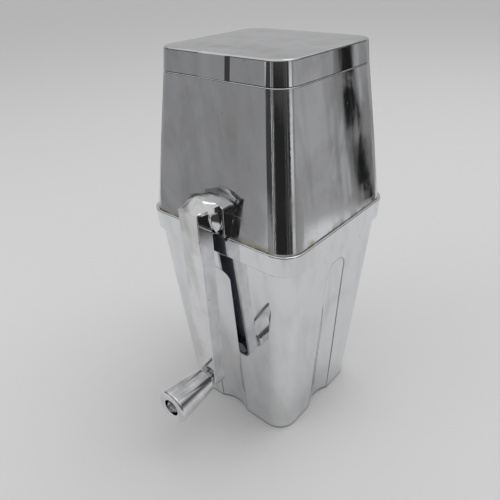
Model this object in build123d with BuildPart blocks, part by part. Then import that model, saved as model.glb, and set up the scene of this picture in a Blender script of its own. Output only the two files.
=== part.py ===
from build123d import *
from math import cos, degrees, radians, sin
import os

# Hand crank ice crusher. Millimetres, +Z up, origin at the centre of the cup's foot on the table.
# The crank is on the front (-Y) and the lid's hinge on the back (+Y).

# --- heights of the casing ---
total_height = 260.0
seam_height = 160.0  # top of the cup's rim, where the housing stands
lid_height = 12.9
rim_band = 14.0  # height of the rim band round the top of the cup

# --- cup, full sizes across X (width) and Y (depth) ---
foot_width = 94.8
foot_depth = 91.0
foot_corner = 14.0
foot_edge = 0.6
waist_set_x = 2.6  # the wall's top, in from the rim's side faces
waist_set_y = 2.4
waist_corner = 13.5
rim_width = 119.2
rim_depth = 113.4
rim_corner = 14.5
rim_draft = 0.4
rim_bead = 0.8
rim_step = 1.0
rim_ledge = 2.4  # thickness of the step that joins the rim band to the cup's wall
cup_wall = 2.2
cup_floor = 3.0
rim_wall = 2.4

# --- arched recess in each side of the cup ---
recess_half_foot = 12.4
recess_half_crown = 10.4
recess_crown_drop = 13.5  # crown of the arch, below the rim band
recess_corner = 9.0
recess_depth_foot = 4.0
recess_depth_crown = 1.3
recess_step = 0.45  # the sharp little step along its edges
recess_reach = 9.0  # how far the cut runs out past the wall
arch_margin = 1.0
wall_overlap = 1.0  # how far the cup's wall runs up inside the rim band

# --- housing ---
shoulder_set_x = 1.3  # the housing's foot, in from the rim's side faces
shoulder_set_y = 1.2
shoulder_corner = 14.5
neck_width = 95.0
neck_depth = 90.4
neck_corner = 12.5
neck_edge = 0.8  # rounded edge under the lid
housing_wall = 2.2
shadow_gap = 0.9  # height of the thin set-back line where the housing stands on the rim
shadow_inset = 0.7
spigot_depth = 5.5  # how far the housing's spigot goes down inside the rim
spigot_rise = 4.0
spigot_wall = 1.9
spigot_play = 0.4
mouth_lip_rise = 2.5
mouth_lip_depth = 4.0
mouth_lip_wall = 1.4
mouth_lip_inset = 2.4  # lip's outer face, in from the neck's outer face

# --- lid ---
crown_width = 92.4
crown_depth = 87.9
crown_corner = 12.1
lid_wall = 1.4
lid_edge = 1.3
lid_seam = 0.3
tab_half = 8.7
tab_slope = 3.0  # width of its sloping ends
tab_proud = 0.8

# --- lid hinge ---
hinge_offset = 3.6  # pin axis behind the neck's back face
hinge_rise = 1.9  # pin axis above the lid's seam
knuckle_radius = 3.0
knuckle_half = 12.0
ear_gap = 0.4
ear_width = 5.0
ear_root = 11.0
hinge_pin_radius = 1.5
hinge_pin_overhang = 0.4

# --- fits, radial or between faces ---
push_fit = 0.03
running_fit = 0.06
face_gap = 0.3
slip_fit = 0.4

# --- shaft and crank ---
shaft_rise = 12.5  # shaft's axis above the seam
boss_proud = 3.1  # boss's face in front of the housing's foot
boss_thickness = 9.0
boss_half = 13.4
boss_rise = 10.6  # crest of the boss's arch above the shaft's axis
boss_corner_rise = 7.3  # where its straight sides end
boss_corner = 3.0
boss_edge = 0.8
journal_radius = 6.0
square_size = 8.0
rear_journal_radius = 4.0
front_bush_wall = 2.0
front_bush_flange = 1.2
bush_tube_wall = 1.5
bush_tube_length = 11.0
washer_radius = 11.8
washer_thickness = 0.6
washer_edge = 0.15
hub_radius = 12.4
hub_rim = 1.0
hub_rise = 13.1  # crest of the hub plate's arch above the shaft's axis
hub_corner_rise = 9.7  # where its straight sides end
hub_nose_radius = 8.2
hub_cone = 1.9
arm_width = 15.6
arm_thickness = 11.0
arm_tip_thickness = 9.2  # at the knob's axis
arm_edge = 0.5
arm_wall = 1.8  # wall round the hollow in the arm's back
arm_hollow_depth = 5.6
arm_hollow_drop = 14.0  # top of the hollow below the shaft's axis
arm_shoulder_rise = 7.0  # straight front edge of the hooded top, above the shaft's axis
hood_lip = 1.2
hood_front_crest = 0.15  # how much the straight front edge is arched
hood_middle = 4.0  # middle slice of the hood, behind the arm's front
hood_middle_flare = 0.6  # how much wider than the arm it is there, on each side
hood_middle_corner = 0.5  # its corner above the shoulder
hood_middle_crest = 4.2  # its crest above the shoulder
crank_throw = 124.2
socket_depth = 12.0

# --- knob ---
knob_length = 31.5
knob_small_radius = 8.7
knob_large_radius = 12.3
knob_edge = 1.4
knob_small_edge = 0.8
knob_recess_radius = 6.1
knob_recess_depth = 7.0
collar_radius = 4.2
collar_length = 2.0
collar_seat = 0.1  # clears the arm's sloping front
spindle_boss_radius = 4.6
spindle_radius = 2.5
spindle_engagement = 8.0
screw_head_radius = 4.6
screw_head_height = 2.6
screw_slot = 1.1
screw_slot_depth = 1.0

# --- blades and combs ---
blade_count = 5
blade_teeth = 5
blade_pitch = 13.5
blade_thickness = 2.5
blade_tip_radius = 17.0
blade_root_radius = 10.5
blade_tip_flat = 1.6
tooth_half_angle = 24.0
tooth_hook = 9.0
spacer_radius = 7.0
clip_radius = 9.0
clip_thickness = 1.0
clip_groove = 1.2
comb_bar = 5.5
comb_height = 7.0
comb_end_gap = 1.0
prong_width = 4.5
prong_height = 4.0
fine_prong_gap = 1.5
coarse_prong_gap = 5.5

# --- hopper frame ---
throat_half_x = 24.0
throat_half_y = 37.0
throat_corner = 1.0
throat_rise = 21.5  # top of the throat above the shaft's axis
throat_skirt = 0.5  # how far the throat's walls reach below the blades' tips
funnel_top_gap = 0.4
frame_wall = 2.0
funnel_corner = 10.4
flange_thickness = 2.4
flange_rise = 0.4
bearing_radius = 8.0
bearing_length = 8.0
rear_bush_wall = 1.8

# --- small screws ---
screw_radius = 1.5
screw_cap_radius = 2.8
screw_cap_height = 1.8
frame_screw_length = 14.0
post_radius = 4.0
post_height = 27.0
post_inset_x = 7.5
post_inset_y = 7.5
rib_width = 2.4
comb_screw_offset = 27.0

# --- sizes that follow from others ---
lid_seam_height = total_height - lid_height
waist_height = seam_height - rim_band
recess_crown = waist_height - recess_crown_drop
waist_width = rim_width - 2 * waist_set_x
waist_depth = rim_depth - 2 * waist_set_y
shoulder_width = rim_width - 2 * shoulder_set_x
shoulder_depth = rim_depth - 2 * shoulder_set_y
shaft_height = seam_height + shaft_rise
boss_front = shoulder_depth / 2 + boss_proud
boss_crest = shaft_height + boss_rise
boss_corner_height = shaft_height + boss_corner_rise
hub_crest = shaft_height + hub_rise
hub_corner_height = shaft_height + hub_corner_rise
arm_shoulder = shaft_height + arm_shoulder_rise
throat_top = shaft_height + throat_rise

os.makedirs("parts", exist_ok=True)


# --- shared shapes ---
def between(low_height, low, high_height, high, height):
    """A drafted size at any height, from its values at two heights."""
    return low + (high - low) * (height - low_height) / (high_height - low_height)


def rounded_section(height, half_x, half_y, corner):
    """A rounded rectangle on a level plane, from its half sizes."""
    with BuildSketch(Plane.XY.offset(height)) as section:
        RectangleRounded(2 * half_x, 2 * half_y, corner)
    return section.sketch


def cup_half(height, foot, waist):
    return between(0, foot / 2, waist_height, waist / 2, height)


def housing_half(height, shoulder, neck):
    return between(seam_height, shoulder / 2, lid_seam_height, neck / 2, height)


def housing_section(height, inset):
    """The housing's outline at one height, set in from its outer face."""
    corner = between(seam_height, shoulder_corner, lid_seam_height, neck_corner, height)
    half_x = housing_half(height, shoulder_width, neck_width) - inset
    half_y = housing_half(height, shoulder_depth, neck_depth) - inset
    return rounded_section(height, half_x, half_y, corner - inset)


def lid_section(height, inset):
    half_x = between(lid_seam_height, neck_width, total_height, crown_width, height) / 2 - inset
    half_y = between(lid_seam_height, neck_depth, total_height, crown_depth, height) / 2 - inset
    corner = between(lid_seam_height, neck_corner, total_height, crown_corner, height)
    return rounded_section(height, half_x, half_y, corner - inset)


def finish(part, name):
    """Labels a finished piece and writes it under its own name."""
    part.label = name
    export_step(part, f"parts/{name}.step")


# --- ice cup: a drafted shell with four arched recesses and a rim band ---
ledge_height = waist_height + rim_ledge
wall_top = ledge_height + wall_overlap


def recess_section(height, face, grow):
    """One level slice of a recess: an arc pressed into the face, open outwards."""
    half = between(0, recess_half_foot, recess_crown, recess_half_crown, height) + grow
    depth = between(0, recess_depth_foot, recess_crown, recess_depth_crown, height) + grow
    edge = recess_step - face
    open_side = -face - recess_reach
    with BuildSketch(Plane.XY.offset(height)) as section:
        with BuildLine():
            ThreePointArc((-half, edge), (0, depth - face), (half, edge))
            Polyline((half, edge), (half, open_side), (-half, open_side), (-half, edge))
        make_face()
    return section.sketch


def recess(foot, waist, grow):
    """The space of one recess, on the front face; grow leaves the wall behind it."""
    low, high = -recess_reach, recess_crown + grow
    with BuildPart() as space:
        loft(
            sections=[
                recess_section(low, cup_half(low, foot, waist), grow),
                recess_section(high, cup_half(high, foot, waist), grow),
            ],
            ruled=True,
        )
        with BuildSketch(Plane.XZ) as arch:
            with BuildLine():
                half_low = recess_half_foot + grow + 2 * arch_margin
                half_high = recess_half_crown + grow + arch_margin
                Polyline(
                    (-half_low, 2 * low),
                    (-half_high, high - arch_margin),
                    (half_high, high - arch_margin),
                    (half_low, 2 * low),
                    close=True,
                )
            make_face()
            fillet(arch.vertices().group_by(Axis.Y)[-1], recess_corner)
        extrude(amount=2 * foot, both=True, mode=Mode.INTERSECT)
    return space.part


def four_recesses(grow):
    """The same recess pressed into the front, back and both sides."""
    front = recess(foot_depth, waist_depth, grow)
    side = recess(foot_width, waist_width, grow)
    return [
        front,
        front.rotate(Axis.Z, 180),
        side.rotate(Axis.Z, 90),
        side.rotate(Axis.Z, 270),
    ]


with BuildPart() as cup_space:
    loft(
        sections=[
            rounded_section(
                cup_floor,
                cup_half(cup_floor, foot_width, waist_width) - cup_wall,
                cup_half(cup_floor, foot_depth, waist_depth) - cup_wall,
                foot_corner - cup_wall,
            ),
            rounded_section(
                wall_top,
                cup_half(wall_top, foot_width, waist_width) - cup_wall,
                cup_half(wall_top, foot_depth, waist_depth) - cup_wall,
                waist_corner - cup_wall,
            ),
        ],
        ruled=True,
    )
    add(four_recesses(cup_wall), mode=Mode.SUBTRACT)
    with BuildSketch(Plane.XY.offset(ledge_height)):
        RectangleRounded(rim_width - 2 * rim_wall, rim_depth - 2 * rim_wall, rim_corner - rim_wall)
    extrude(amount=rim_band)

with BuildPart() as band:
    loft(
        sections=[
            rounded_section(
                waist_height, rim_width / 2 - rim_draft, rim_depth / 2 - rim_draft, rim_corner
            ),
            rounded_section(seam_height, rim_width / 2, rim_depth / 2, rim_corner),
        ],
        ruled=True,
    )
    fillet(band.faces().sort_by(Axis.Z)[-1].edges(), rim_bead)
    fillet(band.faces().sort_by(Axis.Z)[0].edges(), rim_step)

with BuildPart() as ice_cup:
    loft(
        sections=[
            rounded_section(0, foot_width / 2, foot_depth / 2, foot_corner),
            rounded_section(
                waist_height + wall_overlap, waist_width / 2, waist_depth / 2, waist_corner
            ),
        ],
        ruled=True,
    )
    fillet(ice_cup.faces().sort_by(Axis.Z)[0].edges(), foot_edge)
    add(four_recesses(0), mode=Mode.SUBTRACT)
    add(band.part)
    add(cup_space.part, mode=Mode.SUBTRACT)
finish(ice_cup.part, "ice_cup")


# --- upper housing: a drafted shell with the crank boss, the spigot and the mouth's lip ---
foot_line = seam_height + shadow_gap
bush_outer = journal_radius + running_fit + front_bush_wall
bush_tube_radius = bush_outer + push_fit + bush_tube_wall
shaft_plane = Plane((0, 0, shaft_height), x_dir=(1, 0, 0), z_dir=(0, -1, 0))
rim_inner_x = rim_width / 2 - rim_wall
rim_inner_y = rim_depth / 2 - rim_wall
spigot_x = rim_inner_x - spigot_play
spigot_y = rim_inner_y - spigot_play
spigot_corner = rim_corner - rim_wall - spigot_play
spigot_low = seam_height - spigot_depth
flange_bottom = seam_height + flange_rise
flange_top = flange_bottom + flange_thickness
post_x = shoulder_width / 2 - housing_wall - post_inset_x
post_y = shoulder_depth / 2 - housing_wall - post_inset_y
lip_low = lid_seam_height - mouth_lip_depth
lip_high = lid_seam_height + mouth_lip_rise
hinge_y = neck_depth / 2 + hinge_offset
hinge_z = lid_seam_height + hinge_rise
ear_middle = knuckle_half + ear_gap + ear_width / 2
hinge_plane = Plane((0, hinge_y, hinge_z), x_dir=(0, 1, 0), z_dir=(1, 0, 0))


def arched_section(distance, half, low, corner, crest):
    """An upright slice this far in front: flat below, straight sides, arched on top."""
    with BuildSketch(Plane.XZ.offset(distance)) as section:
        with BuildLine():
            Polyline((-half, corner), (-half, low), (half, low), (half, corner))
            ThreePointArc((half, corner), (0, crest), (-half, corner))
        make_face()
    return section.sketch


def boss(inset, low):
    """The arched block on the front face, from its face back into the wall."""
    corner, crest = boss_corner_height - inset, boss_crest - inset
    with BuildPart() as block:
        extrude(
            arched_section(boss_front - inset, boss_half - inset, low, corner, crest),
            amount=-boss_thickness,
        )
        fillet(block.edges().filter_by(Axis.Y).group_by(Axis.Z)[-1], boss_corner - inset)
    return block.part


with BuildPart() as casing:
    loft(sections=[housing_section(foot_line, 0), housing_section(lid_seam_height, 0)], ruled=True)
    fillet(casing.faces().sort_by(Axis.Z)[-1].edges(), neck_edge)
    add(boss(0, foot_line))
    edges = casing.faces().sort_by(Axis.Y)[0].edges().sort_by(Axis.Z)[1:]
    fillet(edges, boss_edge)

with BuildPart() as posts:
    with BuildSketch(Plane.XY.offset(flange_top)):
        for side_x, side_y, turn in ((1, 1, 45), (-1, 1, 135), (-1, -1, 225), (1, -1, 315)):
            with Locations((side_x * post_x, side_y * post_y)):
                Circle(post_radius)
                Rectangle(
                    2 * post_inset_x, rib_width, rotation=turn, align=(Align.MIN, Align.CENTER)
                )
    extrude(amount=post_height)
    loft(
        sections=[
            housing_section(foot_line, housing_wall / 2),
            housing_section(lid_seam_height, housing_wall / 2),
        ],
        ruled=True,
        mode=Mode.INTERSECT,
    )
    with BuildSketch(Plane.XY.offset(flange_top)):
        with GridLocations(2 * post_x, 2 * post_y, 2, 2):
            Circle(screw_radius + push_fit)
    extrude(amount=frame_screw_length, mode=Mode.SUBTRACT)

with BuildPart() as ears:
    with BuildSketch(hinge_plane.offset(-ear_middle)):
        Circle(knuckle_radius)
        with BuildLine():
            wall_y = -hinge_offset - housing_wall / 2
            ledge_z = -hinge_rise - ear_gap
            Polyline(
                (wall_y, -ear_root),
                (wall_y, ledge_z),
                (0, ledge_z),
                (knuckle_radius, 0),
                close=True,
            )
        make_face()
        Circle(hinge_pin_radius + push_fit, mode=Mode.SUBTRACT)
    extrude(amount=ear_width / 2, both=True)
    mirror(about=Plane.YZ)

with BuildPart() as upper_housing:
    add(casing.part)
    with BuildSketch(Plane.XY.offset(seam_height)):
        RectangleRounded(
            shoulder_width - 2 * shadow_inset,
            shoulder_depth - 2 * shadow_inset,
            shoulder_corner - shadow_inset,
        )
    extrude(amount=shadow_gap)
    loft(
        sections=[
            housing_section(seam_height, housing_wall),
            housing_section(lip_low, housing_wall),
        ],
        ruled=True,
        mode=Mode.SUBTRACT,
    )
    add(boss(housing_wall, foot_line + housing_wall), mode=Mode.SUBTRACT)
    with BuildSketch(Plane.XY.offset(spigot_low)):
        RectangleRounded(2 * spigot_x, 2 * spigot_y, spigot_corner)
        offset(amount=-spigot_wall, mode=Mode.SUBTRACT)
    extrude(amount=spigot_depth + spigot_rise)
    with BuildSketch(Plane.XY.offset(lip_low)):
        RectangleRounded(
            neck_width - 2 * mouth_lip_inset,
            neck_depth - 2 * mouth_lip_inset,
            neck_corner - mouth_lip_inset,
        )
    extrude(amount=mouth_lip_depth + mouth_lip_rise)
    with BuildSketch(Plane.XY.offset(lip_low)):
        RectangleRounded(
            neck_width - 2 * (mouth_lip_inset + mouth_lip_wall),
            neck_depth - 2 * (mouth_lip_inset + mouth_lip_wall),
            neck_corner - mouth_lip_inset - mouth_lip_wall,
        )
    extrude(amount=mouth_lip_depth + mouth_lip_rise, mode=Mode.SUBTRACT)
    add(posts.part)
    add(ears.part)
    with BuildSketch(shaft_plane.offset(boss_front - bush_tube_length)):
        Circle(bush_tube_radius)
    extrude(amount=bush_tube_length - housing_wall / 2)
    with BuildSketch(shaft_plane.offset(boss_front)):
        Circle(bush_outer + push_fit)
    extrude(amount=-bush_tube_length, mode=Mode.SUBTRACT)
finish(upper_housing.part, "upper_housing")


# --- lid: a shallow cap with a thumb tab, and its knuckle on the hinge pin ---
lid_low = lid_seam_height + lid_seam


def tab_section(height):
    """A level slice of the thumb tab, with sloping ends; it reaches into the lid's wall."""
    face = between(lid_seam_height, neck_depth, total_height, crown_depth, height) / 2
    with BuildSketch(Plane.XY.offset(height)) as section:
        with BuildLine():
            Polyline(
                (-tab_half - tab_slope, -face),
                (-tab_half, -face - tab_proud),
                (tab_half, -face - tab_proud),
                (tab_half + tab_slope, -face),
                (tab_half + tab_slope, -face + lid_wall / 2),
                (-tab_half - tab_slope, -face + lid_wall / 2),
                close=True,
            )
        make_face()
    return section.sketch


with BuildPart() as lid:
    loft(sections=[lid_section(lid_low, 0), lid_section(total_height, 0)], ruled=True)
    fillet(lid.faces().sort_by(Axis.Z)[-1].edges(), lid_edge)
    tab_high = total_height - lid_edge / 2
    loft(sections=[tab_section(lid_low), tab_section(tab_high)], ruled=True)
    with BuildSketch(hinge_plane.offset(-knuckle_half)):
        Circle(knuckle_radius)
        with Locations((-hinge_offset - lid_wall / 2, lid_seam + ear_gap - hinge_rise)):
            Rectangle(
                hinge_offset + lid_wall / 2,
                hinge_rise - lid_seam - ear_gap + knuckle_radius,
                align=(Align.MIN, Align.MIN),
            )
        Circle(hinge_pin_radius + running_fit, mode=Mode.SUBTRACT)
    extrude(amount=2 * knuckle_half)
    loft(
        sections=[lid_section(lid_low, lid_wall), lid_section(total_height - lid_wall, lid_wall)],
        ruled=True,
        mode=Mode.SUBTRACT,
    )
finish(lid.part, "lid")

with BuildPart() as lid_hinge_pin:
    pin_length = 2 * (knuckle_half + ear_gap + ear_width + hinge_pin_overhang)
    with BuildSketch(hinge_plane.offset(-pin_length / 2)):
        Circle(hinge_pin_radius)
    extrude(amount=pin_length)
    chamfer(lid_hinge_pin.edges().filter_by(GeomType.CIRCLE), hinge_pin_overhang / 2)
finish(lid_hinge_pin.part, "lid_hinge_pin")


# --- hopper frame: funnel, throat round the blades, fixing flange and rear bearing ---
throat_low = shaft_height - blade_tip_radius - throat_skirt
funnel_top = lip_low - funnel_top_gap
funnel_x = housing_half(funnel_top, shoulder_width, neck_width) - housing_wall - slip_fit
funnel_y = housing_half(funnel_top, shoulder_depth, neck_depth) - housing_wall - slip_fit
bearing_end = throat_half_y + bearing_length


def on_shaft(distance):
    """The plane square to the shaft this far in front of the middle; extruding goes forwards."""
    return shaft_plane.offset(distance)


def throat_section(height, grow):
    return rounded_section(
        height, throat_half_x + grow, throat_half_y + grow, throat_corner + grow
    )


def mouth_section(height, inset):
    return rounded_section(height, funnel_x - inset, funnel_y - inset, funnel_corner - inset)


with BuildPart() as hopper_frame:
    with BuildSketch(Plane.XY.offset(flange_bottom)):
        RectangleRounded(
            2 * (spigot_x - spigot_wall - slip_fit),
            2 * (spigot_y - spigot_wall - slip_fit),
            spigot_corner - spigot_wall - slip_fit,
        )
        with GridLocations(2 * post_x, 2 * post_y, 2, 2):
            Circle(screw_radius + slip_fit, mode=Mode.SUBTRACT)
    extrude(amount=flange_thickness)
    loft(sections=[throat_section(throat_low, frame_wall), throat_section(throat_top, frame_wall)])
    loft(sections=[throat_section(throat_top, frame_wall), mouth_section(funnel_top, 0)], ruled=True)
    with BuildSketch(on_shaft(-bearing_end)):
        Circle(bearing_radius)
    extrude(amount=bearing_length)
    loft(sections=[throat_section(throat_low, 0), throat_section(throat_top, 0)], mode=Mode.SUBTRACT)
    loft(
        sections=[throat_section(throat_top, 0), mouth_section(funnel_top, frame_wall)],
        ruled=True,
        mode=Mode.SUBTRACT,
    )
    rear_bush_outer = rear_journal_radius + running_fit + rear_bush_wall
    with BuildSketch(on_shaft(-bearing_end)):
        Circle(rear_bush_outer + push_fit)
    extrude(amount=bearing_length, mode=Mode.SUBTRACT)
    with BuildSketch(on_shaft(throat_half_y)):
        Circle(journal_radius + slip_fit)
    extrude(amount=frame_wall, mode=Mode.SUBTRACT)
    with BuildSketch(Plane.YZ.offset(-throat_half_x - frame_wall)):
        with Locations((-comb_screw_offset, shaft_height), (comb_screw_offset, shaft_height)):
            Circle(screw_radius + slip_fit)
    extrude(amount=2 * (throat_half_x + frame_wall), mode=Mode.SUBTRACT)
finish(hopper_frame.part, "hopper_frame")


# --- bushes of the shaft ---
bush_back = boss_front - bush_tube_length

with BuildPart() as front_bushing:
    with BuildSketch(on_shaft(bush_back)):
        Circle(bush_outer)
    extrude(amount=bush_tube_length)
    with BuildSketch(on_shaft(bush_back)):
        Circle(bush_tube_radius)
    extrude(amount=-front_bush_flange)
    with BuildSketch(on_shaft(bush_back - front_bush_flange)):
        Circle(journal_radius + running_fit)
    extrude(amount=front_bush_flange + bush_tube_length, mode=Mode.SUBTRACT)
finish(front_bushing.part, "front_bushing")

with BuildPart() as rear_bushing:
    with BuildSketch(on_shaft(-bearing_end)):
        Circle(rear_bush_outer)
        Circle(rear_journal_radius + running_fit, mode=Mode.SUBTRACT)
    extrude(amount=bearing_length)
finish(rear_bushing.part, "rear_bushing")


# --- drive shaft, its clip and washer ---
washer_back = boss_front + face_gap
hub_back = washer_back + washer_thickness
clip_front = throat_half_y - face_gap
clip_back = clip_front - clip_thickness
journal_back = clip_back - clip_groove / 2
rear_shoulder = throat_half_y - face_gap
shaft_end = bearing_end - face_gap
blade_span = blade_pitch * (blade_count - 1) / 2

with BuildPart() as drive_shaft:
    with BuildSketch(on_shaft(-rear_shoulder)):
        Rectangle(square_size, square_size)
    extrude(amount=rear_shoulder + hub_back + socket_depth - face_gap)
    with BuildSketch(on_shaft(journal_back)):
        Circle(journal_radius)
    extrude(amount=hub_back - journal_back)
    with BuildSketch(on_shaft(-shaft_end)):
        Circle(rear_journal_radius)
    extrude(amount=shaft_end - rear_shoulder)
    with BuildSketch(on_shaft(clip_back)):
        Circle(journal_radius)
        Circle(journal_radius - clip_groove, mode=Mode.SUBTRACT)
    extrude(amount=clip_thickness, mode=Mode.SUBTRACT)
finish(drive_shaft.part, "drive_shaft")

with BuildPart() as shaft_clip:
    with BuildSketch(on_shaft(clip_back)):
        Circle(clip_radius)
        Circle(journal_radius - clip_groove + push_fit, mode=Mode.SUBTRACT)
        Rectangle(
            journal_radius, clip_radius, align=(Align.CENTER, Align.MAX), mode=Mode.SUBTRACT
        )
    extrude(amount=clip_thickness)
finish(shaft_clip.part, "shaft_clip")

with BuildPart() as thrust_washer:
    with BuildSketch(on_shaft(washer_back)):
        Circle(washer_radius)
        Circle(journal_radius + running_fit, mode=Mode.SUBTRACT)
    extrude(amount=washer_thickness)
    rims = thrust_washer.edges().filter_by(GeomType.CIRCLE).group_by(SortBy.RADIUS)[-1]
    chamfer(rims, washer_edge)
finish(thrust_washer.part, "thrust_washer")


# --- blades: one five-toothed stamping, each turned a quarter turn from the last ---
square_hole = square_size + 2 * push_fit


def polar(radius, degrees):
    return (radius * cos(radians(degrees)), radius * sin(radians(degrees)))


for index in range(blade_count):
    turn = 90 * index
    tooth_step = 360 / blade_teeth
    tooth_base = blade_root_radius - blade_tip_flat / 2
    flat_angle = degrees(blade_tip_flat / blade_tip_radius) / 2
    blade_back = blade_span - index * blade_pitch - blade_thickness / 2
    with BuildPart() as blade:
        with BuildSketch(on_shaft(blade_back)):
            Circle(blade_root_radius)
            for tooth in range(blade_teeth):
                at = turn + tooth * tooth_step
                with BuildLine():
                    Polyline(
                        polar(tooth_base, at - tooth_half_angle),
                        polar(blade_tip_radius, at + tooth_hook - flat_angle),
                        polar(blade_tip_radius, at + tooth_hook + flat_angle),
                        polar(tooth_base, at + tooth_half_angle),
                        close=True,
                    )
                make_face()
            Rectangle(square_hole, square_hole, mode=Mode.SUBTRACT)
        extrude(amount=blade_thickness)
    finish(blade.part, f"blade_{index + 1}")

spacer_ends = [journal_back]
for index in range(blade_count):
    middle = blade_span - index * blade_pitch
    spacer_ends += [middle + blade_thickness / 2, middle - blade_thickness / 2]
spacer_ends.append(-rear_shoulder)

for index in range(blade_count + 1):
    front, back = spacer_ends[2 * index], spacer_ends[2 * index + 1]
    with BuildPart() as spacer:
        with BuildSketch(on_shaft(back)):
            Circle(spacer_radius)
            Rectangle(square_hole, square_hole, mode=Mode.SUBTRACT)
        extrude(amount=front - back)
    finish(spacer.part, f"spacer_{index + 1}")


# --- combs: bars on the throat's side walls, with prongs between the blades ---
outer_gap = (blade_span + blade_thickness / 2 + journal_back) / 2
prong_places = [blade_pitch * (index - blade_count / 2 + 1) for index in range(blade_count - 1)]
prong_places += [-outer_gap, outer_gap]


def comb(side, prong_end):
    """A comb on one side of the throat: +1 right, -1 left; prongs end at prong_end from the shaft."""
    bar_face = throat_half_x - comb_bar
    with BuildPart() as piece:
        with BuildSketch(Plane.XY.offset(shaft_height - comb_height / 2)):
            with Locations((side * (bar_face + comb_bar / 2), 0)):
                Rectangle(comb_bar, 2 * (throat_half_y - comb_end_gap))
        extrude(amount=comb_height)
        with BuildSketch(Plane.XY.offset(shaft_height - prong_height / 2)):
            for place in prong_places:
                with BuildLine():
                    Polyline(
                        (side * bar_face, place - prong_width / 2),
                        (side * prong_end, place - prong_width / 4),
                        (side * prong_end, place + prong_width / 4),
                        (side * bar_face, place + prong_width / 2),
                        close=True,
                    )
                make_face()
        extrude(amount=prong_height)
        with BuildSketch(Plane.YZ.offset(side * (bar_face + comb_bar))):
            with Locations((-comb_screw_offset, shaft_height), (comb_screw_offset, shaft_height)):
                Circle(screw_radius + push_fit)
        extrude(amount=-side * (comb_bar - comb_end_gap), mode=Mode.SUBTRACT)
    return piece.part


finish(comb(1, spacer_radius + fine_prong_gap), "fine_comb")
finish(comb(-1, spacer_radius + coarse_prong_gap), "coarse_comb")


# --- small pan-head screws ---
def screw(head_plane, length):
    """A screw whose head sits on the plane; the plane's normal points out of the head."""
    with BuildPart() as piece:
        with BuildSketch(head_plane):
            Circle(screw_cap_radius)
        extrude(amount=screw_cap_height)
        outwards = Axis(head_plane.origin, head_plane.z_dir)
        fillet(piece.edges().sort_by(outwards)[-1], screw_cap_height / 3)
        with BuildSketch(head_plane):
            Circle(screw_radius)
        extrude(amount=-length)
        with BuildSketch(head_plane.offset(screw_cap_height)):
            Rectangle(2 * screw_cap_radius, screw_radius / 2)
        extrude(amount=-screw_cap_height / 2, mode=Mode.SUBTRACT)
    return piece.part


comb_screw_length = frame_wall + comb_bar - 2 * comb_end_gap
with BuildPart() as comb_screws:
    for side in (-1, 1):
        for place in (-comb_screw_offset, comb_screw_offset):
            seat = (side * (throat_half_x + frame_wall), place, shaft_height)
            add(screw(Plane(seat, x_dir=(0, 1, 0), z_dir=(side, 0, 0)), comb_screw_length))
finish(comb_screws.part, "comb_screws")

with BuildPart() as frame_screws:
    for side_x in (-1, 1):
        for side_y in (-1, 1):
            seat = (side_x * post_x, side_y * post_y, flange_bottom)
            under = Plane(seat, x_dir=(1, 0, 0), z_dir=(0, 0, -1))
            add(screw(under, flange_thickness + frame_screw_length - face_gap))
finish(frame_screws.part, "frame_screws")


# --- crank arm: tapered bar with a hollow back, coned hub on the shaft and a domed hood over it ---
hub_front = hub_back + hub_rim
arm_back = hub_front + hub_cone
arm_front = arm_back + arm_thickness
hood_low = arm_shoulder - hood_lip
knob_height = shaft_height - crank_throw
arm_half = arm_width / 2
tip_front = arm_back + arm_tip_thickness
arm_low = knob_height - arm_half

with BuildPart() as crank_arm:
    with BuildSketch(Plane.XZ.offset(arm_back)):
        with Locations((0, knob_height)):
            Rectangle(arm_width, hood_low - knob_height, align=(Align.CENTER, Align.MIN))
            Circle(arm_half)
    extrude(amount=arm_thickness)
    with BuildSketch(Plane.YZ) as side_view:
        with BuildLine():
            slope_low = between(hood_low, arm_front, knob_height, tip_front, arm_low)
            Polyline(
                (-arm_back, arm_low),
                (-arm_back, hood_low),
                (-arm_front, hood_low),
                (-slope_low, arm_low),
                close=True,
            )
        make_face()
    extrude(amount=arm_half, both=True, mode=Mode.INTERSECT)
    front_face = crank_arm.faces().sort_by(Axis.Y)[0]
    fillet(front_face.edges().sort_by(Axis.Z)[:-1], arm_edge)
    with BuildSketch(Plane.XZ.offset(arm_back)):
        with Locations((0, knob_height)):
            Circle(arm_half - arm_wall)
            Rectangle(
                arm_width - 2 * arm_wall,
                crank_throw - arm_hollow_drop,
                align=(Align.CENTER, Align.MIN),
            )
            Circle(spindle_boss_radius, mode=Mode.SUBTRACT)
    extrude(amount=arm_hollow_depth, mode=Mode.SUBTRACT)
    hub_plate = arched_section(hub_back, hub_radius, shaft_height, hub_corner_height, hub_crest)
    extrude(hub_plate, amount=hub_rim)
    loft(
        sections=[
            arched_section(
                arm_front, arm_half, hood_low, arm_shoulder, arm_shoulder + hood_front_crest
            ),
            arched_section(
                arm_front - hood_middle,
                arm_half + hood_middle_flare,
                hood_low,
                arm_shoulder + hood_middle_corner,
                arm_shoulder + hood_middle_crest,
            ),
            arched_section(hub_front, hub_radius, hood_low, hub_corner_height, hub_crest),
        ]
    )
    with BuildSketch(on_shaft(hub_back)):
        Circle(hub_radius)
    extrude(amount=hub_rim)
    with BuildSketch(on_shaft(hub_front)):
        Circle(hub_radius)
    with BuildSketch(on_shaft(arm_back)):
        Circle(hub_nose_radius)
    loft()
    with BuildSketch(on_shaft(hub_back)):
        Rectangle(square_hole, square_hole)
    extrude(amount=socket_depth, mode=Mode.SUBTRACT)
    with BuildSketch(Plane.XZ.offset(arm_front)):
        with Locations((0, knob_height)):
            Circle(spindle_radius + push_fit)
    extrude(amount=tip_front - spindle_engagement - arm_front, mode=Mode.SUBTRACT)
finish(crank_arm.part, "crank_arm")


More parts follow.
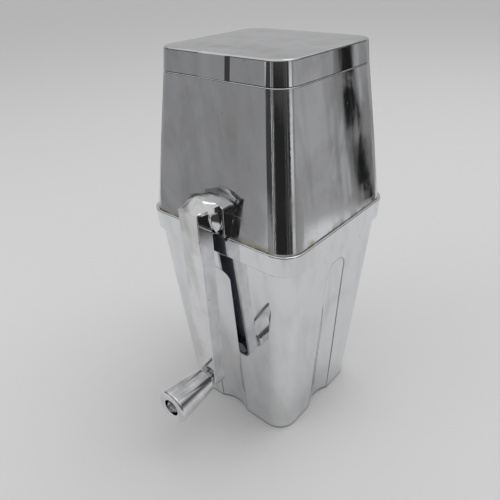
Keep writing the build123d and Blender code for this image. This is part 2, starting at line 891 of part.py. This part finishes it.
# --- knob, turning on a shoulder screw in front of a short collar ---
collar_back = tip_front + collar_seat
collar_front = collar_back + collar_length
knob_back = collar_front + face_gap
knob_front = knob_back + knob_length
recess_floor = knob_front - knob_recess_depth


def on_knob(distance):
    return Plane((0, -distance, knob_height), x_dir=(1, 0, 0), z_dir=(0, -1, 0))


with BuildPart() as knob:
    with BuildSketch(on_knob(knob_back)):
        Circle(knob_small_radius)
    with BuildSketch(on_knob(knob_front)):
        Circle(knob_large_radius)
    loft()
    fillet(knob.edges().filter_by(GeomType.CIRCLE).sort_by(Axis.Y)[0], knob_edge)
    fillet(knob.edges().filter_by(GeomType.CIRCLE).sort_by(Axis.Y)[-1], knob_small_edge)
    with BuildSketch(on_knob(knob_front)):
        Circle(knob_recess_radius)
    extrude(amount=-knob_recess_depth, mode=Mode.SUBTRACT)
    with BuildSketch(on_knob(knob_back)):
        Circle(spindle_radius + running_fit)
    extrude(amount=knob_length, mode=Mode.SUBTRACT)
finish(knob.part, "knob")

with BuildPart() as knob_collar:
    with BuildSketch(on_knob(collar_back)):
        Circle(collar_radius)
        Circle(spindle_radius + push_fit, mode=Mode.SUBTRACT)
    extrude(amount=collar_length)
finish(knob_collar.part, "knob_collar")

with BuildPart() as knob_screw:
    head_back = recess_floor + face_gap
    spindle_back = tip_front - spindle_engagement + face_gap
    with BuildSketch(on_knob(head_back)):
        Circle(screw_head_radius)
    extrude(amount=screw_head_height)
    fillet(knob_screw.edges().sort_by(Axis.Y)[0], screw_head_height / 2)
    with BuildSketch(on_knob(spindle_back)):
        Circle(spindle_radius)
    extrude(amount=head_back - spindle_back)
    with BuildSketch(on_knob(head_back + screw_head_height)):
        Rectangle(2 * screw_head_radius, screw_slot)
    extrude(amount=-screw_slot_depth, mode=Mode.SUBTRACT)
finish(knob_screw.part, "knob_screw")
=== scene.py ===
import bpy
from mathutils import Matrix, Vector

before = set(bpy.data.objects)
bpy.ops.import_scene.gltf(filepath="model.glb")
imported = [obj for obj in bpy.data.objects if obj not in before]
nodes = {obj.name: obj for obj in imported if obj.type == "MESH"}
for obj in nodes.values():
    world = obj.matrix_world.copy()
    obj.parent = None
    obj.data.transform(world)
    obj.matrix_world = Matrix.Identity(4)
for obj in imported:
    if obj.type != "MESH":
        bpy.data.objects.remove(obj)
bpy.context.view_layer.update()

# --- ice cup ---
# The lower cup catches the crushed ice. It is moulded plastic with a bright vacuum-plated skin, worn
# by years of hands and washing: fine wipe marks, cloudy finger patches and pits in the plating.
# Every other plated or polished piece below is finished with the same two shader groups.


def shader_group(name, inputs, outputs):
    """An empty shader node group with named float, colour or vector sockets."""
    group = bpy.data.node_groups.new(name, "ShaderNodeTree")
    for label, kind, value in inputs:
        socket = group.interface.new_socket(label, in_out="INPUT", socket_type=kind)
        socket.default_value = value
    for label, kind in outputs:
        group.interface.new_socket(label, in_out="OUTPUT", socket_type=kind)
    entry = group.nodes.new("NodeGroupInput")
    leave = group.nodes.new("NodeGroupOutput")
    return group, entry, leave


def add_node(tree, kind, links=(), **settings):
    """A node with its settings, and its inputs linked or set by name or number."""
    node = tree.nodes.new(kind)
    for key, value in settings.items():
        setattr(node, key, value)
    for socket, source in links:
        if hasattr(source, "is_linked"):
            tree.links.new(source, node.inputs[socket])
        else:
            node.inputs[socket].default_value = source
    return node


def math(tree, operation, a, b=0.0, clamp=False):
    links = [(0, a), (1, b)]
    return add_node(tree, "ShaderNodeMath", links, operation=operation, use_clamp=clamp).outputs[0]


def span(tree, value, low, high, to_low=0.0, to_high=1.0):
    links = [(0, value), (1, low), (2, high), (3, to_low), (4, to_high)]
    return add_node(tree, "ShaderNodeMapRange", links, interpolation_type="SMOOTHSTEP").outputs[0]


def noise(tree, vector, scale, detail=3.0, rough=0.5, distortion=0.0):
    links = [("Vector", vector), ("Scale", scale), ("Detail", detail)]
    links += [("Roughness", rough), ("Distortion", distortion)]
    return add_node(tree, "ShaderNodeTexNoise", links).outputs["Fac"]


def stretched(tree, vector, counts, turn=(0.0, 0.0, 0.0)):
    """Turned, then counted in so many repeats a metre along each turned axis."""
    links = [("Vector", vector), ("Scale", tuple(1 / count for count in counts)), ("Rotation", turn)]
    return add_node(tree, "ShaderNodeMapping", links, vector_type="TEXTURE").outputs["Vector"]


def mixed(tree, mask, first, second):
    """Two colours mixed by a mask, each a fixed colour or another node's output."""
    node = add_node(tree, "ShaderNodeMix", [("Factor", mask)], data_type="RGBA")
    for socket, colour in ((6, first), (7, second)):
        if hasattr(colour, "is_linked"):
            tree.links.new(colour, node.inputs[socket])
        else:
            node.inputs[socket].default_value = (*colour, 1)
    return node.outputs[2]


def summed(tree, start, terms, clamp=False):
    """A start value plus masks, each times its weight."""
    total = start
    for mask, weight in terms:
        total = math(tree, "ADD", total, math(tree, "MULTIPLY", mask, weight), clamp)
    return total


def darker(colour, share):
    return tuple(share * value for value in colour)


def relief(tree, shader, height, distance):
    """Bumps of one height, in metres, on a material."""
    bump = add_node(tree, "ShaderNodeBump", [("Height", height), ("Distance", distance)])
    tree.links.new(bump.outputs["Normal"], shader.inputs["Normal"])


def make_handling_marks():
    """Cloudy patches, wipe marks and hairline scratches, as masks from 0 to 1."""
    group, entry, leave = shader_group(
        "handling_marks",
        [
            ("Vector", "NodeSocketVector", (0, 0, 0)),
            ("Patch size", "NodeSocketFloat", 0.03),
            ("Hairlines", "NodeSocketFloat", 0.5),
        ],
        [
            ("Cloud", "NodeSocketFloat"),
            ("Wipe", "NodeSocketFloat"),
            ("Scratch", "NodeSocketFloat"),
            ("Spots", "NodeSocketFloat"),
        ],
    )
    place = entry.outputs["Vector"]
    patch_scale = math(group, "DIVIDE", 1.0, entry.outputs["Patch size"])
    cloud = noise(group, place, patch_scale, 3.0, 0.55, 0.5)
    cloud = span(group, cloud, 0.38, 0.78)
    wipe = noise(group, stretched(group, place, (75, 75, 11), (0.10, -0.16, 0.0)), 1.0, 4.0, 0.55, 0.4)
    wipe = span(group, wipe, 0.42, 0.66)
    scratch = None
    for counts, turn in (
        ((1500, 40, 55), (0.0, 0.6, 0.0)),
        ((40, 1700, 60), (0.5, 0.0, 0.0)),
        ((1300, 1300, 70), (-0.3, -0.4, 0.2)),
    ):
        line = noise(group, stretched(group, place, counts, turn), 1.0, 1.0, 0.4)
        line = span(group, line, 0.76, 0.79)
        scratch = line if scratch is None else math(group, "MAXIMUM", scratch, line)
    rubbed = span(group, noise(group, place, 38.0, 2.0), 0.50, 0.60)
    scratch = math(group, "MULTIPLY", scratch, rubbed)
    scratch = math(group, "MULTIPLY", scratch, entry.outputs["Hairlines"])
    cells = add_node(
        group,
        "ShaderNodeTexVoronoi",
        [("Vector", place), ("Scale", 140.0)],
        feature="F1",
    )
    chance = add_node(group, "ShaderNodeSeparateColor", [("Color", cells.outputs["Color"])])
    chosen = span(group, chance.outputs[0], 0.93, 0.95)
    size = math(group, "MULTIPLY", chance.outputs[1], 0.16)
    dot = math(group, "LESS_THAN", cells.outputs["Distance"], size)
    spots = math(group, "MULTIPLY", dot, chosen)
    for label, source in (("Cloud", cloud), ("Wipe", wipe), ("Scratch", scratch), ("Spots", spots)):
        group.links.new(source, leave.inputs[label])
    return group


def make_soft_waves():
    """The slow waviness of a moulded and plated wall, as a height in metres."""
    group, entry, leave = shader_group(
        "soft_waves",
        [
            ("Vector", "NodeSocketVector", (0, 0, 0)),
            ("Long", "NodeSocketFloat", 0.5),
            ("Short", "NodeSocketFloat", 0.5),
        ],
        [("Height", "NodeSocketFloat")],
    )
    place = entry.outputs["Vector"]
    slow = noise(group, stretched(group, place, (22, 22, 10)), 1.0, 1.0, 0.4)
    fast = noise(group, place, 160.0, 2.0, 0.5)
    high = math(group, "MULTIPLY", slow, entry.outputs["Long"])
    low = math(group, "MULTIPLY", fast, entry.outputs["Short"])
    group.links.new(math(group, "ADD", high, low), leave.inputs["Height"])
    return group


handling_marks = make_handling_marks()
soft_waves = make_soft_waves()


def new_material(name):
    material = bpy.data.materials.new(name)
    material.use_nodes = True
    tree = material.node_tree
    shader = tree.nodes["Principled BSDF"]
    place = tree.nodes.new("ShaderNodeTexCoord").outputs["Object"]
    return material, tree, shader, place


def plated(name, colour, stain, rough, cloud_rough, patch, hairlines, waves, local=None):
    """Bright plating: mirror with slight waves, cloudy handling marks and fine scratches.

    local(tree, place) may give a mask, a colour and an added roughness for one part of the piece.
    """
    material, tree, shader, place = new_material(name)
    marks = add_node(
        tree,
        "ShaderNodeGroup",
        [("Vector", place), ("Patch size", patch), ("Hairlines", hairlines)],
        node_tree=handling_marks,
    )
    wave = add_node(
        tree,
        "ShaderNodeGroup",
        [("Vector", place), ("Long", waves[0]), ("Short", waves[1])],
        node_tree=soft_waves,
    )
    cloud, wipe, scratch, spots = marks.outputs
    terms = [(cloud, cloud_rough), (wipe, 0.6 * cloud_rough), (scratch, 0.25)]
    total = summed(tree, rough, terms)
    dirt = summed(tree, 0.0, [(cloud, 0.45), (wipe, 0.35), (scratch, 0.5), (spots, 0.9)], True)
    finish = mixed(tree, dirt, colour, stain)
    if local:
        mask, local_colour, local_rough = local(tree, place)
        finish = mixed(tree, mask, finish, local_colour)
        total = summed(tree, total, [(mask, local_rough)])
    tree.links.new(total, shader.inputs["Roughness"])
    tree.links.new(finish, shader.inputs["Base Color"])
    shader.inputs["Metallic"].default_value = 1.0
    scratch_depth = 0.00001
    relief(tree, shader, summed(tree, wave.outputs["Height"], [(scratch, -scratch_depth)]), 1.0)
    return material


def dress(name, material):
    """Gives a CAD node its finish, as one material over its whole surface."""
    mesh = nodes[name].data
    mesh.materials.clear()
    mesh.materials.append(material)


def coordinates(tree, place):
    return add_node(tree, "ShaderNodeSeparateXYZ", [("Vector", place)]).outputs


def crease_and_foot_painted_shade(tree, place):
    """Painted shade: a thin dark bluish, rougher line along the creases of the arched recesses, and a
    painted contact shadow as a dark band round the foot.
    """
    arch_springs, arch_crown = 0.1235, 0.1325
    half_foot, half_crown, arch_corner = 0.0124, 0.0104, 0.009
    line_radius = 0.0091
    across, deep, height = coordinates(tree, place)
    across, deep = math(tree, "ABSOLUTE", across), math(tree, "ABSOLUTE", deep)
    from_middle = math(tree, "MINIMUM", across, deep)
    half = span(tree, height, 0.0, arch_crown, half_foot, half_crown)
    aside = math(tree, "SUBTRACT", from_middle, math(tree, "SUBTRACT", half, arch_corner))
    raised = math(tree, "SUBTRACT", height, arch_springs)
    aside, raised = math(tree, "MAXIMUM", aside, 0.0), math(tree, "MAXIMUM", raised, 0.0)
    square = math(tree, "ADD", math(tree, "POWER", aside, 2.0), math(tree, "POWER", raised, 2.0))
    away = math(tree, "ABSOLUTE", math(tree, "SUBTRACT", math(tree, "SQRT", square), line_radius))
    crease = span(tree, away, 0.0001, 0.0008, 0.45, 0.0)
    foot = span(tree, height, 0.0008, 0.0016, 0.95, 0.0)
    # the dark bluish colour is painted shade on the creases and a painted contact shadow round the
    # foot
    return math(tree, "MAXIMUM", crease, foot), (0.16, 0.17, 0.20), 0.15


bright = (0.80, 0.81, 0.83)
cup_plating = plated(
    "cup_plating",
    bright,
    stain=(0.58, 0.58, 0.57),
    rough=0.015,
    cloud_rough=0.10,
    patch=0.035,
    hairlines=0.6,
    waves=(0.00035, 0.000003),
    local=crease_and_foot_painted_shade,
)
dress("ice_cup", cup_plating)

# --- upper housing ---
# The casing above the seam holds the works. It is moulded and plated like the cup, with a moulded
# boss for the crank in front and two ears for the lid at the back; it shows the most scuffs.
def foot_deposit(tree, place):
    """The yellowish deposit that wiping leaves in the corner above the cup's rim."""
    deposit_foot, deposit_top = 0.1606, 0.1655
    height = coordinates(tree, place)[2]
    low = span(tree, height, deposit_foot, deposit_top, 1.0, 0.0)
    patchy = span(tree, noise(tree, place, 70.0, 4.0, 0.65), 0.40, 0.62)
    return math(tree, "MULTIPLY", low, patchy), (0.50, 0.46, 0.36), 0.25


housing_plating = plated(
    "housing_plating",
    bright,
    stain=(0.50, 0.50, 0.50),
    rough=0.015,
    cloud_rough=0.15,
    patch=0.030,
    hairlines=0.9,
    waves=(0.00032, 0.000003),
    local=foot_deposit,
)
dress("upper_housing", housing_plating)

# --- lid and its hinge pin ---
# The lid is a shallow plated cap with a thumb tab. It turns on a plain steel pin at the back.
lid_plating = plated(
    "lid_plating",
    bright,
    stain=(0.5, 0.5, 0.51),
    rough=0.02,
    cloud_rough=0.13,
    patch=0.05,
    hairlines=0.5,
    waves=(0.0003, 0.000003),
)
dress("lid", lid_plating)


def turned_steel(name, colour, rough, ring_axis, rings):
    """Drawn or turned steel: fine rings round an axis, small variations in gloss."""
    material, tree, shader, place = new_material(name)
    scale = {"X": (1.0, 0.02, 0.02), "Y": (0.02, 1.0, 0.02), "Z": (0.02, 0.02, 1.0)}[ring_axis]
    along = stretched(tree, place, tuple(rings * value for value in scale))
    ring = noise(tree, along, 1.0, 2.0)
    blotch = noise(tree, place, 90.0, 3.0, 0.6)
    gloss = math(tree, "MULTIPLY", span(tree, ring, 0.3, 0.7), 0.12)
    gloss = math(tree, "ADD", gloss, span(tree, blotch, 0.4, 0.7, 0.0, 0.1))
    tree.links.new(math(tree, "ADD", gloss, rough), shader.inputs["Roughness"])
    tree.links.new(mixed(tree, blotch, colour, darker(colour, 0.8)), shader.inputs["Base Color"])
    shader.inputs["Metallic"].default_value = 1.0
    relief(tree, shader, ring, 0.00001)
    return material


dress("lid_hinge_pin", turned_steel("pin_steel", (0.6, 0.6, 0.6), 0.22, "X", 3000))

# --- hopper frame ---
# The white plastic insert guides the ice to the blades and carries the shaft. It is injection
# moulded with a fine matt grain and has gone slightly yellow.


def moulded(name, colour, aged, rough, grain):
    """Moulded plastic: fine matt grain, slight yellowing and a few rubbed patches."""
    material, tree, shader, place = new_material(name)
    age = span(tree, noise(tree, place, 25.0, 3.0, 0.6), 0.35, 0.75)
    tree.links.new(mixed(tree, age, colour, aged), shader.inputs["Base Color"])
    rubbed = span(tree, noise(tree, place, 60.0, 4.0, 0.6), 0.4, 0.7, 0.0, -0.15)
    tree.links.new(math(tree, "ADD", rubbed, rough), shader.inputs["Roughness"])
    relief(tree, shader, noise(tree, place, grain, 2.0), 0.00006)
    return material


frame_plastic = moulded("frame_plastic", (0.72, 0.70, 0.64), (0.66, 0.61, 0.50), 0.5, 1800.0)
dress("hopper_frame", frame_plastic)

# --- frame screws ---
# Four zinc-plated pan-head screws go up through the frame's flange into the housing's posts.
zinc = turned_steel("zinc", (0.66, 0.65, 0.60), 0.3, "Z", 2500)
dress("frame_screws", zinc)

# --- combs and their screws ---
# The two fixed combs are cast aluminium, tumbled after casting. Each is held by two zinc-plated
# screws from outside the throat.


def cast(name, colour, rough):
    """Tumbled casting: mottled, slightly pitted grey metal."""
    material, tree, shader, place = new_material(name)
    mottle = noise(tree, place, 220.0, 4.0, 0.65)
    tree.links.new(mixed(tree, mottle, colour, darker(colour, 0.7)), shader.inputs["Base Color"])
    tree.links.new(span(tree, mottle, 0.3, 0.7, rough, rough + 0.2), shader.inputs["Roughness"])
    shader.inputs["Metallic"].default_value = 1.0
    relief(tree, shader, mottle, 0.0002)
    return material


comb_metal = cast("comb_casting", (0.62, 0.62, 0.63), 0.35)
dress("fine_comb", comb_metal)
dress("coarse_comb", comb_metal)
dress("comb_screws", zinc)

# --- bushings ---
# Plain white acetal bushes carry the shaft in the housing's boss and in the frame's rear bearing.
bush_plastic = moulded("bush_plastic", (0.78, 0.77, 0.73), (0.70, 0.68, 0.62), 0.38, 2600.0)
dress("front_bushing", bush_plastic)
dress("rear_bushing", bush_plastic)

# --- drive shaft, its clip and its washer ---
# The shaft is bright drawn steel with turned journals and a milled square. A spring clip keeps it in
# the frame, and a plated washer sits between the crank's hub and the boss.
shaft_steel = turned_steel("shaft_steel", (0.58, 0.58, 0.59), 0.2, "Y", 2600)
dress("drive_shaft", shaft_steel)
dress("shaft_clip", shaft_steel)
washer_plating = plated(
    "washer_plating",
    bright,
    stain=(0.4, 0.4, 0.41),
    rough=0.08,
    cloud_rough=0.12,
    patch=0.02,
    hairlines=0.6,
    waves=(0.00005, 0.000004),
)
dress("thrust_washer", washer_plating)

# --- blades and spacers ---
# Five blades stamped from stainless sheet, brushed on their faces, with aluminium sleeves between.


def brushed(name, colour, rough):
    """Brushed sheet: long fine lines in one direction with faint cross marks."""
    material, tree, shader, place = new_material(name)
    line = noise(tree, stretched(tree, place, (60, 400, 3500), (0.0, 0.3, 0.0)), 1.0, 2.0)
    tree.links.new(span(tree, line, 0.3, 0.7, rough, rough + 0.15), shader.inputs["Roughness"])
    tree.links.new(mixed(tree, line, colour, darker(colour, 0.8)), shader.inputs["Base Color"])
    shader.inputs["Metallic"].default_value = 1.0
    relief(tree, shader, line, 0.00003)
    return material


blade_steel = brushed("blade_steel", (0.6, 0.6, 0.61), 0.24)
for number in range(1, 6):
    dress(f"blade_{number}", blade_steel)
spacer_metal = turned_steel("spacer_metal", (0.7, 0.7, 0.71), 0.3, "Y", 2000)
for number in range(1, 7):
    dress(f"spacer_{number}", spacer_metal)

# --- crank arm ---
# The crank is one zinc casting, polished and chromed, so its skin is harder and clearer than the
# plated plastic: few scratches, small pits and soft waves from polishing by hand.
def painted_hollow_shade(tree, place):
    """Painted shade: the hollow in the arm's back is coloured dark, as shade in the recess."""
    half_width, floor_depth, hollow_top = 0.00605, -0.0683, 0.1587
    across, deep, height = coordinates(tree, place)
    inside = math(tree, "LESS_THAN", math(tree, "ABSOLUTE", across), half_width)
    inside = math(tree, "MULTIPLY", inside, math(tree, "GREATER_THAN", deep, floor_depth))
    inside = math(tree, "MULTIPLY", inside, math(tree, "LESS_THAN", height, hollow_top))
    # the dark colour in the hollow is painted shade
    return inside, (0.27, 0.28, 0.31), 0.3


chrome = (0.84, 0.845, 0.86)
crank_chrome = plated(
    "crank_chrome",
    chrome,
    stain=(0.44, 0.43, 0.41),
    rough=0.02,
    cloud_rough=0.07,
    patch=0.02,
    hairlines=0.8,
    waves=(0.00012, 0.000003),
    local=painted_hollow_shade,
)
dress("crank_arm", crank_chrome)

# --- knob, its collar and its screw ---
# The knob is a turned, chromed grip that spins on a steel shoulder screw in front of a short collar.
knob_chrome = plated(
    "knob_chrome",
    chrome,
    stain=(0.5, 0.5, 0.51),
    rough=0.05,
    cloud_rough=0.1,
    patch=0.015,
    hairlines=0.4,
    waves=(0.00004, 0.00001),
)
dress("knob", knob_chrome)
dress("knob_collar", knob_chrome)
dress("knob_screw", turned_steel("screw_steel", (0.66, 0.66, 0.66), 0.12, "Y", 2200))

# --- stand: floor, light and camera ---
# A pale paper floor under soft studio lamps. Bright metal mirrors the paper near it and, past the
# paper's edge, a ring of plain upright studio cards, black, grey and white, with nothing on them.
paper = bpy.data.meshes.new("paper")
reach = 9.0
corners = [(-reach, -reach, 0), (reach, -reach, 0), (reach, reach, 0), (-reach, reach, 0)]
paper.from_pydata(corners, [], [(0, 1, 2, 3)])
floor = bpy.data.objects.new("paper_floor", paper)
bpy.context.scene.collection.objects.link(floor)
floor_paper, tree, shader, place = new_material("floor_paper")
shader.inputs["Roughness"].default_value = 0.85
shader.inputs["Specular IOR Level"].default_value = 0.2
shader.inputs["Base Color"].default_value = (0.60, 0.60, 0.60, 1)
paper_middle = (-0.12, 0.155, 0.0)
offset = add_node(tree, "ShaderNodeVectorMath", [(0, place), (1, paper_middle)], operation="SUBTRACT")
away = add_node(
    tree, "ShaderNodeVectorMath", [(0, offset.outputs["Vector"])], operation="LENGTH"
).outputs["Value"]
light_path = tree.nodes.new("ShaderNodeLightPath")
edge_starts, edge_ends = 0.465, 0.535
past_edge = span(tree, away, edge_starts, edge_ends)
cut_off = math(tree, "MULTIPLY", past_edge, light_path.outputs["Is Glossy Ray"])
clear = tree.nodes.new("ShaderNodeBsdfTransparent")
paper_mix = add_node(tree, "ShaderNodeMixShader", [(0, cut_off)])
tree.links.new(shader.outputs[0], paper_mix.inputs[1])
tree.links.new(clear.outputs[0], paper_mix.inputs[2])
tree.links.new(paper_mix.outputs[0], tree.nodes["Material Output"].inputs["Surface"])
paper.materials.append(floor_paper)

world = bpy.data.worlds.new("studio")
bpy.context.scene.world = world
world.use_nodes = True
tree = world.node_tree
direction = tree.nodes.new("ShaderNodeTexCoord").outputs["Generated"]
parts = add_node(tree, "ShaderNodeSeparateXYZ", [("Vector", direction)])
east, north, up = parts.outputs
degrees_in_radian = 57.29578
bearing = math(tree, "MULTIPLY", math(tree, "ARCTAN2", north, east), degrees_in_radian)


def band(value, low, high, soft):
    """1 between two values, with soft edges."""
    rise = span(tree, value, low - soft, low + soft)
    fall = span(tree, value, high - soft, high + soft, 1.0, 0.0)
    return math(tree, "MULTIPLY", rise, fall)


def grey(level):
    return level, level, level


# upright cards: where each starts and ends, in degrees from +X towards +Y, its soft edge, its grey
cards = mixed(tree, band(bearing, -185, -122, 5), grey(0.36), grey(0.275))
for low, high, soft, level in (
    (-125.0, -121.5, 1.0, 0.72),
    (-121.5, -99.0, 1.5, 0.049),
    (-99.0, -84.0, 1.0, 0.046),
    (-97.5, -95.0, 0.8, 0.59),
    (-91.0, -88.5, 0.8, 0.49),
    (-84.0, -36.0, 2.0, 0.020),
    (-36.0, -13.0, 2.0, 0.034),
    (-27.0, -24.0, 1.5, 0.135),
    (-13.0, 1.0, 2.0, 0.66),
    (1.0, 9.0, 2.0, 0.25),
    (57.5, 59.8, 0.4, 0.013),
    (100.0, 112.0, 5.0, 0.06),
    (150.0, 163.0, 6.0, 0.10),
):
    cards = mixed(tree, band(bearing, low, high, soft), cards, grey(level))
foot_shine = math(tree, "MULTIPLY", band(up, -0.45, -0.25, 0.05), band(bearing, -120.0, -98.0, 3.0))
cards = mixed(tree, foot_shine, cards, grey(0.26))
higher = mixed(tree, band(up, 0.08, 0.38, 0.07), cards, grey(0.10))
behind = math(tree, "MULTIPLY", band(up, 0.02, 0.9, 0.04), band(bearing, 75.0, 178.0, 12.0))
higher = mixed(tree, behind, higher, grey(0.44))
seen = mixed(tree, span(tree, up, 0.42, 0.62), higher, grey(0.67))
to_lamp = (0.176, 0.293, 0.940)
lamp_way = add_node(
    tree, "ShaderNodeVectorMath", [(0, direction), (1, to_lamp)], operation="DOT_PRODUCT"
).outputs["Value"]
seen = mixed(tree, span(tree, lamp_way, 0.955, 0.975), seen, grey(1.5))
background = tree.nodes["Background"]
lit = add_node(tree, "ShaderNodeBackground", [("Color", (0.75, 0.75, 0.75, 1)), ("Strength", 1.0)])
light_path = tree.nodes.new("ShaderNodeLightPath")
tree.links.new(seen, background.inputs["Color"])
mixer = add_node(tree, "ShaderNodeMixShader", [])
tree.links.new(light_path.outputs["Is Glossy Ray"], mixer.inputs[0])
tree.links.new(lit.outputs[0], mixer.inputs[1])
tree.links.new(background.outputs[0], mixer.inputs[2])
tree.links.new(mixer.outputs[0], tree.nodes["World Output"].inputs["Surface"])


def soft_box(name, size, power, spot, aim):
    """A soft light of one size, in watts, aimed at a point."""
    data = bpy.data.lights.new(name, "AREA")
    data.shape = "RECTANGLE"
    data.size, data.size_y = size
    data.energy = power
    lamp = bpy.data.objects.new(name, data)
    bpy.context.scene.collection.objects.link(lamp)
    lamp.location = spot
    lamp.rotation_euler = (Vector(aim) - Vector(spot)).to_track_quat("-Z", "Y").to_euler()
    return lamp


# bright metal sees neither lamp, but the small soft lamp that the world holds instead
ceiling_light = soft_box("ceiling_light", (1.2, 1.2), 9.0, (0.3, 0.5, 1.6), (0, 0, 0.1))
ceiling_light.visible_glossy = False
fill_light = soft_box("fill_light", (0.9, 0.7), 2.6, (-0.55, -0.95, 0.75), (0.0, -0.05, 0.0))
fill_light.visible_glossy = False

frame_width, focal_length = 500, 486.536  # in pixels of the 500 x 500 frame
sensor_width = 36.0
camera_place = (0.188696, -0.234591, 0.303001)
lens = bpy.data.cameras.new("camera")
lens.sensor_width = sensor_width
lens.lens = sensor_width * focal_length / frame_width
lens.clip_start = 0.01
camera = bpy.data.objects.new("camera", lens)
bpy.context.scene.collection.objects.link(camera)
right, above, back = (0.762, 0.647, -0.032), (-0.316, 0.414, 0.854), (0.566, -0.640, 0.520)
turn = Matrix((right, above, back)).transposed().to_quaternion()
camera.matrix_world = Matrix.Translation(camera_place) @ turn.to_matrix().to_4x4()
bpy.context.scene.camera = camera
bpy.context.scene.view_settings.view_transform = "Standard"
